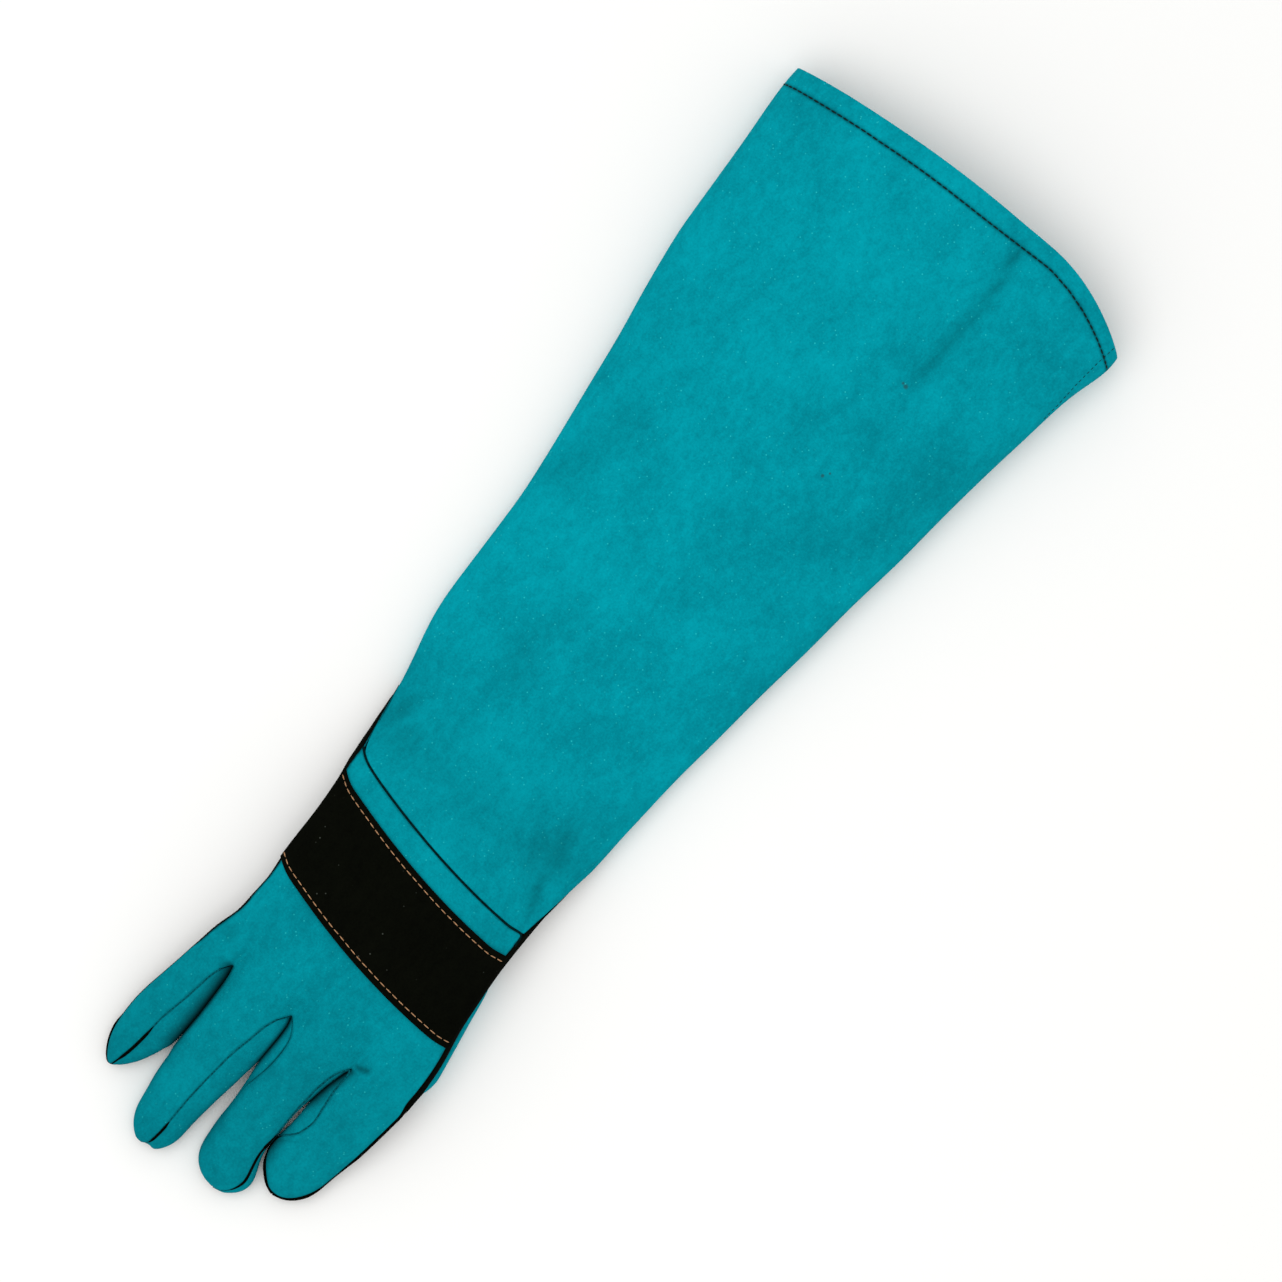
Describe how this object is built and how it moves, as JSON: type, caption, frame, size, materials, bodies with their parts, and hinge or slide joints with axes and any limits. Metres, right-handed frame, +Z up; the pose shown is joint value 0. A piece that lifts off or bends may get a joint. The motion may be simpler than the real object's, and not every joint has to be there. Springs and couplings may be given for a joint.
{
  "type": "animal handling glove",
  "caption": "Long-cuffed right-hand leather glove for handling animals, lying palm down: flared gauntlet, black wrist band, black palm, side strips between the fingers and a folded thumb.",
  "frame": {"origin": "on the surface that the glove rests on, below the middle of its bounding box", "axes": "+Y from the cuff to the fingertips, +X towards the little finger, +Z up through the back of the hand"},
  "size_m": [0.2054, 0.6006, 0.046],
  "materials": {
    "gauntlet_leather": "teal suede",
    "hand_back_leather": "teal suede",
    "wrist_band_leather": "black suede",
    "palm_leather": "black suede",
    "fourchette_leather": "teal suede",
    "thumb_leather": "teal suede"
  },
  "bodies": {
    "root": {"gauntlet": "gauntlet_leather", "hand_back": "hand_back_leather", "wrist_band": "wrist_band_leather", "palm": "palm_leather", "fourchette_index_middle": "fourchette_leather", "fourchette_middle_ring": "fourchette_leather", "fourchette_ring_little": "fourchette_leather", "thumb": "thumb_leather"}
  },
  "joints": []
}
